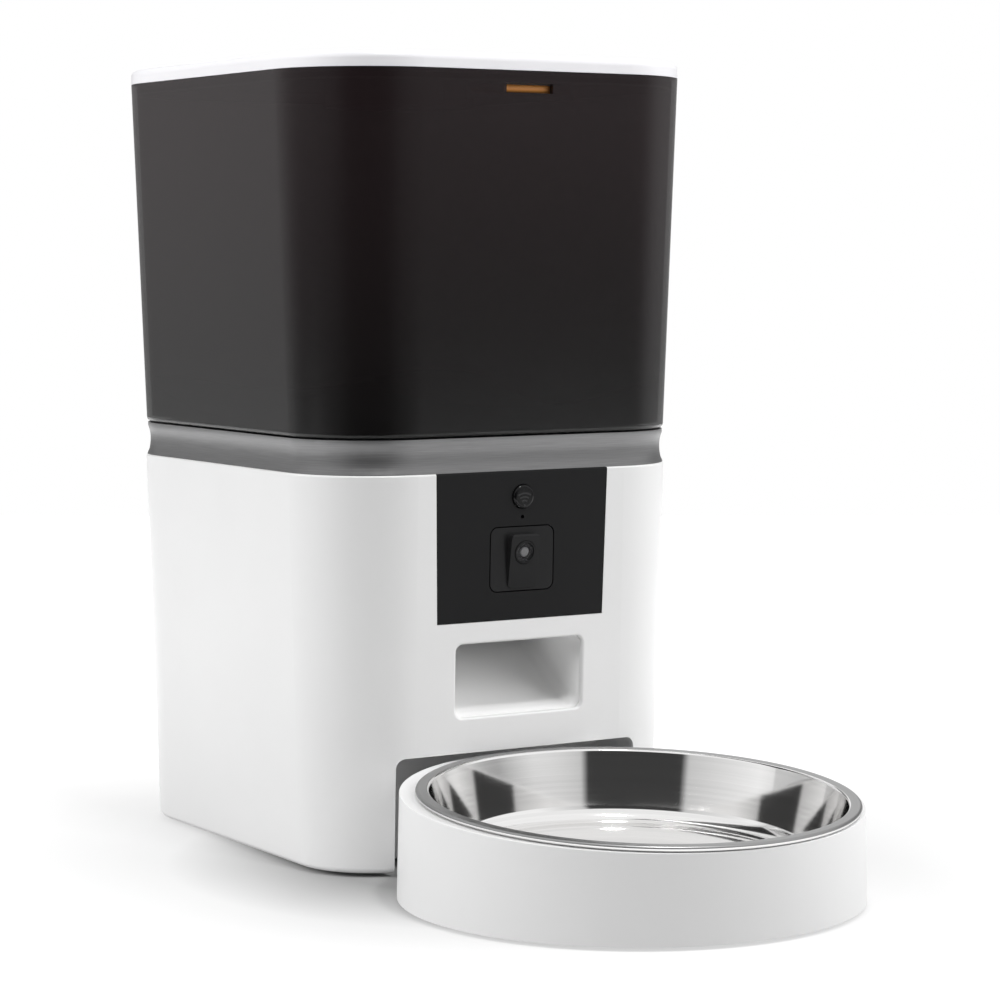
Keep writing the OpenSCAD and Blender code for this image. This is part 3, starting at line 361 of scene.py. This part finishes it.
def buildBowl():
    depth, corner, sheet, bend = bowl["depth"], bowl["corner"], bowl["sheet"], bowl["bend"]
    draft, support = bowl["draft"], bowl["support"]
    slope = math.tan(math.radians(draft))
    lean = 1 / math.cos(math.radians(draft))
    low = corner - depth
    foot = (bowl["mouth"] + low * slope - corner * lean, low)
    shoulder = (bowl["mouth"] + bend * (lean - slope), -bend)
    inside = [(radius, -depth) for radius in (0, *bowl["floorRings"], foot[0] - support)]
    inside += arcPoints(foot, corner, -90, -draft, bowl["cornerSteps"])
    inside += arcPoints(shoulder, bend, 180 - draft, 90, bowl["bendSteps"])
    inside += [(shoulder[0] + support, 0), (rollOut - support, 0)]
    rolled = arcPoints((rollOut, -bowl["roll"]), bowl["roll"], 90, -180, bowl["rollSteps"])
    rolled[-1] = (rollOut - bowl["roll"], -sheet)
    outside = arcPoints(shoulder, bend - sheet, 90, 180 - draft, bowl["underBendSteps"])
    outside += arcPoints(foot, corner + sheet, -draft, -90, bowl["underCornerSteps"])
    outside += [(bowl["footRing"], -depth - sheet), (0, -depth - sheet)]
    bm = spunProfile(inside + rolled + outside, bowl["turns"], closed=False)
    for face in bm.faces:
        middle = face.calc_center_median()
        onRim = middle.z > -bowl["roll"] and middle.xy.length > shoulder[0] - bowl["rimShare"] * bend
        face.material_index = 1 if onRim else 0
    bmesh.ops.transform(bm, matrix=bowlPlace, verts=bm.verts)
    piece = addPiece("steelBowl", bm, "bowl", mirrorSteel, ["steel_bowl"], smoothAngle=60)
    piece.data.materials.append(rimSteelShaded)
    weighNormals(piece)


# Special finishes, and what each of the frame's nodes wears
smokeFinish = smokedPlastic()
neckFinish = brushedGrey()
glassFinish = clearGlass()
# painted light and shade: the polished steel's tone is set lighter than bare stainless and the rim's brushed
# steel much darker, a painted brightness for the bowl and a painted shade on its rim
mirrorSteel = turnedSteel("polishedSteel", (0.87, 0.865, 0.86), rough=0.07, lines=700, height=0.04)
rimSteelShaded = turnedSteel("rimSteelShaded", (0.34, 0.34, 0.34), rough=0.36, lines=2600, height=0.25)
nodeFinish = {
    whiteFinish: ["body_shell", "deck_well", "bowl_stand", "stand_base", "lid_plate",
                  "desiccant_box", "rotor_pan", "rotor_hub", "rotor_cap"],
    lidFinish: ["lid"],
    chuteLitFinish: ["food_chute"],
    neckFinish: ["neck_ring"],
    greyFinish: ["base_plate", "gearbox_case"],
    linerFinish: ["bay_liner"],
    panelFinish: ["front_panel", "speaker"],
    podFinish: ["camera_pod", "lens_ring"],
    buttonFinish: ["feed_button"],
    smokeFinish: ["hopper"],
    amberFinish: ["lid_latch"],
    glassFinish: ["camera_lens"],
    mirrorSteel: ["steel_bowl"],
    plainSteel: ["base_screws", "board_screws", "drive_shaft", "drive_motor", "power_jack"],
    gearFinish: ["drive_gear", "motor_pinion"],
    boardFinish: ["camera_board", "control_board", "main_board", "food_sensors"],
    rubberFinish: ["rubber_feet", "stand_pads", "lid_seal"],
    flapFinish: ["rotor_flaps"],
}
for finish, names in nodeFinish.items():
    for name in names:
        for slot in nodes[name].material_slots:
            slot.material = finish
print("finishes set")

buildBowl()
print("bowl built")

# Stand: the moulding's top edge is well rounded
stand = {"round": 0.0018, "segments": 4, "sharp": 30, "above": 0.02, "band": 0.004}


def buildStand():
    low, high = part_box("bowl_stand")
    centre = Vector((0, low.y + high.x))

    def topEdge(edge):
        middle = (edge.verts[0].co + edge.verts[1].co) / 2
        return middle.z > stand["above"] and (middle.xy - centre).length > high.x - stand["band"]

    bm = softened("bowl_stand", stand["round"], stand["segments"], stand["sharp"], topEdge)
    weighNormals(addPiece("bowlStand", bm, "stand", whiteFinish, ["bowl_stand"]))


buildStand()
print("stand built")

# Neck: its waist flares on down to a thin foot on the body
neck = {"lip": 0.0014, "foot": 0.0003, "flare": 0.0003, "facing": 0.3, "slack": 1e-5}


def buildNeck():
    low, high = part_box("neck_ring")
    bm = merged("neck_ring")
    bm.normal_update()
    half = (high.z - low.z) / 2
    stretch = (half - neck["foot"]) / (half - neck["lip"])
    for vert in bm.verts:
        rise = vert.co.z - low.z
        outward = Vector((vert.co.x, vert.co.y - axisY, 0)).normalized()
        if vert.normal.dot(outward) < neck["facing"] or rise > half:
            continue
        if rise > neck["lip"] - neck["slack"]:
            vert.co.z = high.z - half - (half - rise) * stretch
        if rise < neck["lip"] + neck["slack"]:
            vert.co += outward * neck["flare"]
    weighNormals(addPiece("neckRing", bm, "base", neckFinish, ["neck_ring"]))


buildNeck()
print("neck built")

# Chute: a scoop with a curved floor and soft inner corners
chute = {
    "corner": 0.005, "segments": 7, "sheet": 0.0008, "steps": 14,
    "throat": 0.026, "outlet": 0.050, "shoulder": 0.058,      # in front of the rotor's axis
    "lip": 0.0567, "mouth": 0.0292, "bendAlong": 0.55, "bendRise": 0.008,
    "sideWall": 0.002, "frontGap": 0.0004, "topGap": 0.0002,
    "facing": 0.9, "slack": 0.0005, "lipBand": 0.002,
}


def buildChute():
    low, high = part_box("food_chute")
    half = high.x - chute["sideWall"]
    lipZ = bodyFoot + chute["lip"]
    topZ = lipZ + chute["mouth"]
    frontLip = low.y + chute["frontGap"]
    back = axisY - chute["throat"]
    bend = Vector((frontLip + chute["bendAlong"] * (back - frontLip), lipZ + chute["bendRise"]))
    start = Vector((frontLip, lipZ))
    end = Vector((back, high.z - chute["topGap"]))
    profile = []
    for step in range(chute["steps"] + 1):
        part = step / chute["steps"]
        profile.append((1 - part) ** 2 * start + 2 * part * (1 - part) * bend + part ** 2 * end)
    profile += [Vector((axisY - chute["outlet"], end.y)), Vector((axisY - chute["shoulder"], topZ)),
                Vector((frontLip - (topZ - lipZ) * frontIn.z, topZ))]
    bm = bmesh.new()
    side = bm.faces.new([bm.verts.new((-half, point.x, point.y)) for point in profile])
    moved = pulledVerts(bmesh.ops.extrude_face_region(bm, geom=[side]))
    bmesh.ops.translate(bm, verts=moved, vec=(2 * half, 0, 0))
    bm.faces.ensure_lookup_table()
    sides = [face for face in bm.faces if abs(face.normal.x) > chute["facing"]]
    openings = []
    for face in bm.faces:
        if face in sides:
            continue
        middle = face.calc_center_median()
        atFront = middle.y < frontLip + chute["slack"] and middle.z > lipZ + chute["lipBand"]
        if middle.z > end.y - chute["slack"] or atFront:
            openings.append(face)
    bmesh.ops.delete(bm, geom=openings, context="FACES_ONLY")
    corners = [edge for edge in bm.edges if len(edge.link_faces) == 2
               and len([face for face in edge.link_faces if face in sides]) == 1]
    roundEdges(bm, corners, chute["corner"], chute["segments"])
    piece = addPiece("foodChute", bm, "base", chuteLitFinish, ["food_chute"], smoothAngle=50)
    wall = piece.modifiers.new("wall", "SOLIDIFY")
    wall.thickness = chute["sheet"]
    wall.offset = 0


buildChute()
print("chute built")

# Front panel and camera pod with their edges broken, and the latch with a round front
panel = {"edge": 0.0003, "podEdge": 0.0004, "segments": 3, "sharp": 35}
latch = {"round": 0.0012, "segments": 6, "sharp": 35, "front": 0.0003, "level": 0.9}


def latchFront(edge):
    # the long edges of the latch's front face
    first, last = edge.verts[0].co, edge.verts[1].co
    level = abs(first.x - last.x) > latch["level"] * (first - last).length
    return level and max(first.y, last.y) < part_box("lid_latch")[0].y + latch["front"]


def buildPanel():
    bm = softened("front_panel", panel["edge"], panel["segments"], panel["sharp"])
    weighNormals(addPiece("frontPanel", bm, "base", panelFinish, ["front_panel"]))
    bm = softened("lid_latch", latch["round"], latch["segments"], latch["sharp"], latchFront)
    weighNormals(addPiece("lidLatch", bm, "latch", amberFinish, ["lid_latch"]))
    bm = softened("camera_pod", panel["podEdge"], panel["segments"], panel["sharp"])
    weighNormals(addPiece("cameraPod", bm, "base", podFinish, ["camera_pod"]))


def outwardPlace(node, outward, up):
    # frame on a node's own axis: X right, Y up the face, Z outwards, at the top of the node
    low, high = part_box(node)
    centre = (low + high) / 2
    reach = max((vert.co - centre).dot(outward) for vert in nodes[node].data.vertices)
    turn = Matrix((Vector((1, 0, 0)), up, outward)).transposed().to_4x4()
    return Matrix.Translation(centre + reach * outward) @ turn


symbol = {
    "radii": (0.0019, 0.0033, 0.0047), "stroke": 0.0006, "halfAngle": 36, "steps": 12,
    "dot": 0.8, "dotSides": 16,      # the dot's radius, in strokes
    "raise": 0.00004, "sink": 0.00025, "drop": 0.0034,
}


def buildSymbol():
    # three arcs and a dot for the wireless link, printed on the button
    place = outwardPlace("feed_button", wallOut, wallUp) @ Matrix.Translation((0, -symbol["drop"], 0))
    bm = bmesh.new()
    for radius in symbol["radii"]:
        start = math.radians(90 - symbol["halfAngle"])
        turn = Vector((math.cos(start), math.sin(start), 0))
        pair = [bm.verts.new(turn * (radius + side * symbol["stroke"] / 2)) for side in (-1, 1)]
        edge = bm.edges.new(pair)
        bmesh.ops.spin(bm, geom=pair + [edge], axis=(0, 0, 1), cent=(0, 0, 0), steps=symbol["steps"],
                       angle=math.radians(2 * symbol["halfAngle"]))
    bmesh.ops.create_circle(bm, cap_ends=True, segments=symbol["dotSides"],
                            radius=symbol["stroke"] * symbol["dot"])
    bmesh.ops.remove_doubles(bm, verts=bm.verts, dist=meshing["seam"])
    moved = pulledVerts(bmesh.ops.extrude_face_region(bm, geom=bm.faces[:]))
    bmesh.ops.translate(bm, verts=moved, vec=(0, 0, symbol["raise"] + symbol["sink"]))
    bmesh.ops.translate(bm, verts=bm.verts, vec=(0, 0, -symbol["sink"]))
    bmesh.ops.transform(bm, matrix=place, verts=bm.verts)
    addPiece("linkSymbol", bm, "button", symbolFinish, smoothAngle=30)


lens = {"ring": 0.0045, "glass": 0.0036, "pupil": 0.0019, "back": 0.0013, "lean": 7.63, "turns": 64}


def buildLens():
    # ring, stepped barrel, crowned pupil and cover glass, each a profile of radius and height
    lean = math.radians(lens["lean"])
    out = wallOut * math.cos(lean) - wallUp * math.sin(lean)
    up = wallUp * math.cos(lean) + wallOut * math.sin(lean)
    place = outwardPlace("lens_ring", out, up)
    ring, cover, pupil, back = lens["ring"], lens["glass"], lens["pupil"], -lens["back"]

    def addTurned(name, profile, material, smoothAngle, replaced=(), closed=True):
        bm = spunProfile(profile, lens["turns"], closed)
        bmesh.ops.transform(bm, matrix=place, verts=bm.verts)
        addPiece(name, bm, "base", material, replaced, smoothAngle)

    rounded = [(ring, back), (ring, -0.00035), (ring - 0.0001, -0.0001), (ring - 0.0003, 0),
               (ring - 0.0006, -0.00005), (cover + 0.0003, -0.0003), (cover + 0.00015, -0.0005),
               (cover + 0.00015, back)]
    addTurned("lensRing", rounded, podFinish, 40, ["lens_ring"])
    stepped = [(cover + 0.0001, -0.0006), (cover - 0.0003, -0.00065), (cover - 0.0004, -0.0009),
               (pupil + 0.0004, -0.00095), (pupil + 0.0003, -0.0011), (pupil + 0.0001, -0.0012),
               (pupil + 0.0001, back), (cover + 0.0001, back)]
    addTurned("lensBarrel", stepped, barrelFinish, 30)
    # the pupil's light grey disc is a painted reflection, the glint inside the lens
    crowned = [(0, -0.00066), (pupil * 0.6, -0.00069), (pupil * 0.9, -0.00075), (pupil, -0.0009),
               (pupil, -0.00125), (0, -0.00125)]
    addTurned("lensPupilGlint", crowned, pupilGlintFinish, 60, closed=False)
    domed = [(0, -0.00035), (cover * 0.6, -0.00041), (cover, -0.00052), (cover, -0.0006), (0, -0.0006)]
    addTurned("lensGlass", domed, glassFinish, 30, ["camera_lens"], closed=False)


buildPanel()
buildSymbol()
buildLens()
print("front built")

# Studio: camera, pale floor, soft light
camera = {"lens": 110.87, "sensor": 36, "azimuth": -31.78, "pitch": 4.63, "place": (-0.6250, -1.0861, 0.2358)}
cameraTurn = math.radians(camera["azimuth"])
cameraSide = Vector((math.sin(cameraTurn), -math.cos(cameraTurn), 0))


def addCamera():
    data = bpy.data.cameras.new("studioCamera")
    data.sensor_fit = "HORIZONTAL"
    data.sensor_width = camera["sensor"]
    data.lens = camera["lens"]
    dip = math.radians(camera["pitch"])
    look = -cameraSide * math.cos(dip) - Vector((0, 0, math.sin(dip)))
    holder = bpy.data.objects.new("studioCamera", data)
    holder.location = Vector(camera["place"]) + Vector((0, axisY, 0))
    holder.rotation_euler = look.to_track_quat("-Z", "Y").to_euler()
    bpy.context.scene.collection.objects.link(holder)
    bpy.context.scene.camera = holder


def seenOrMirrored(tree):
    # 1 where the camera, a mirror or clear plastic looks straight at the background
    path = addNode(tree, "ShaderNodeLightPath")
    total = path.outputs["Is Camera Ray"]
    for name in ("Is Glossy Ray", "Is Transmission Ray"):
        total = combined(tree, "MAXIMUM", total, path.outputs[name])
    return total


paper = {
    "half": 1.0, "back": 0.55, "far": 0.5, "drop": 0.0002,
    # levels from the middle out to far
    # painted shade: the colour is 0.36 near the object and 0.82 far off
    "colour": ((0.0, 0.36), (0.5, 0.36), (1.0, 0.82)),
    "glow": ((0.0, 0.0), (0.14, 0.0), (0.26, 0.52), (0.44, 0.70), (1.0, 1.0)),
}


def addFloor():
    # pale paper: near the object it is painted darker, a painted shade that also dims the light it bounces
    # onto the object, and keeps the shadow; farther off it turns plain white
    bm = bmesh.new()
    bmesh.ops.create_grid(bm, x_segments=2, y_segments=2, size=paper["half"])
    turn = Matrix.Rotation(cameraTurn, 4, "Z")
    bmesh.ops.transform(bm, matrix=Matrix.Translation(-cameraSide * paper["back"]) @ turn, verts=bm.verts)
    mesh = bpy.data.meshes.new("studioFloor")
    bm.to_mesh(mesh)
    bm.free()
    floor = bpy.data.objects.new("studioFloor", mesh)
    floor.location.z = -paper["drop"]
    bpy.context.scene.collection.objects.link(floor)
    material, tree, shader = startMaterial("studioPaper", Roughness=0.9)
    shader.inputs["Specular IOR Level"].default_value = 0.0
    shader.inputs["Emission Color"].default_value = (1, 1, 1, 1)
    place = addNode(tree, "ShaderNodeTexCoord")
    away = addNode(tree, "ShaderNodeVectorMath", operation="LENGTH")
    tree.links.new(place.outputs["Object"], away.inputs[0])
    spread = valueRange(tree, away.outputs["Value"], 0.0, 1.0, 0.0, paper["far"]).outputs["Result"]
    tree.links.new(rampStops(tree, spread, paper["colour"]), shader.inputs["Base Color"])
    glow = combined(tree, "MULTIPLY", seenOrMirrored(tree), rampStops(tree, spread, paper["glow"]))
    tree.links.new(glow, shader.inputs["Emission Strength"])
    mesh.materials.append(material)


walls = {
    # brightness round the object, in degrees from the camera, positive to its right
    "stops": (
        (-180, 1.0), (-170, 1.0), (-164, 0.3), (-140, 0.3), (-122, 0.7), (-105, 0.7), (-75, 1.0), (-31, 0.65),
        (-27, 0.05), (27, 0.05), (31, 0.65), (60, 1.0), (105, 1.0), (114, 0.7), (140, 0.3), (164, 0.3),
        (170, 1.0), (180, 1.0),
    ),
    "underTable": 0.15, "fromBack": (-0.5, 0.1), "tableEdge": (0.0, 0.1),
    "overhead": (0.42, 0.50), "ceiling": 0.5, "soft": 0.6,
}


def addWorld():
    # pale walls to both sides, white behind, dark round the camera and below the table's edge
    world = bpy.data.worlds.new("studioWorld")
    bpy.context.scene.world = world
    world.use_nodes = True
    tree = world.node_tree
    tree.nodes.clear()
    out = addNode(tree, "ShaderNodeOutputWorld")
    place = addNode(tree, "ShaderNodeTexCoord")
    split = addNode(tree, "ShaderNodeSeparateXYZ")
    tree.links.new(place.outputs["Generated"], split.inputs["Vector"])

    # level of the walls by the angle round the object
    reaches = []
    for direction in (cameraSide, Vector((0, 0, 1)).cross(cameraSide)):
        reach = addNode(tree, "ShaderNodeVectorMath", operation="DOT_PRODUCT")
        reach.inputs[1].default_value = direction
        tree.links.new(place.outputs["Generated"], reach.inputs[0])
        reaches.append(reach.outputs["Value"])
    facing, across = reaches
    angle = combined(tree, "ARCTAN2", across, facing)
    around = valueRange(tree, angle, 0.0, 1.0, -math.pi, math.pi)
    stops = [((degrees + 180) / 360, level) for degrees, level in walls["stops"]]
    ring = rampStops(tree, around.outputs["Result"], stops)

    # the ceiling lights less than mirrors show of it, and the table's edge cuts the light off below
    seen = seenOrMirrored(tree)
    ceiling = valueRange(tree, seen, walls["ceiling"], 1.0)
    overhead = valueRange(tree, split.outputs["Z"], 0.0, 1.0, *walls["overhead"], smooth=True)
    tree.links.new(ceiling.outputs["Result"], overhead.inputs["To Max"])
    below = valueRange(tree, facing, 1.0, walls["underTable"], *walls["fromBack"])
    height = valueRange(tree, split.outputs["Z"], 0.0, 1.0, *walls["tableEdge"], smooth=True)
    tree.links.new(below.outputs["Result"], height.inputs["To Min"])
    lit = combined(tree, "MAXIMUM", ring, overhead.outputs["Result"])
    level = combined(tree, "MULTIPLY", lit, height.outputs["Result"])
    strength = valueRange(tree, seen, walls["soft"], 1.0)
    room = combined(tree, "MULTIPLY", level, strength.outputs["Result"])

    # the camera itself sees plain white
    path = addNode(tree, "ShaderNodeLightPath")
    shown = combined(tree, "MAXIMUM", room, path.outputs["Is Camera Ray"])
    backdrop = addNode(tree, "ShaderNodeBackground", Color=(1, 1, 1, 1))
    tree.links.new(shown, backdrop.inputs["Strength"])
    tree.links.new(backdrop.outputs["Background"], out.inputs["Surface"])


softboxes = {
    "leftBox": {"place": (-1.7, 0.35, 0.8), "size": (2.0, 1.4), "power": 27.5, "mirrored": False},
    "rightBox": {"place": (1.40, -1.00, 0.95), "size": (2.0, 1.4), "power": 27.5, "mirrored": False},
    "topBox": {"place": (0.0, -0.7, 1.8), "size": (0.22, 0.22), "power": 11, "mirrored": True},
}
lampAim = Vector((0, 0, 0.15))


def addSoftbox(name, place, size, power, mirrored):
    data = bpy.data.lights.new(name, "AREA")
    data.shape = "RECTANGLE"
    data.size, data.size_y = size
    data.energy = power
    lamp = bpy.data.objects.new(name, data)
    lamp.location = Vector(place)
    lamp.rotation_euler = (lampAim - Vector(place)).to_track_quat("-Z", "Y").to_euler()
    lamp.visible_glossy = mirrored
    bpy.context.scene.collection.objects.link(lamp)


addCamera()
addFloor()
addWorld()
for name, lamp in softboxes.items():
    addSoftbox(name, **lamp)
bpy.context.scene.view_settings.view_transform = "Standard"
print("studio ready")
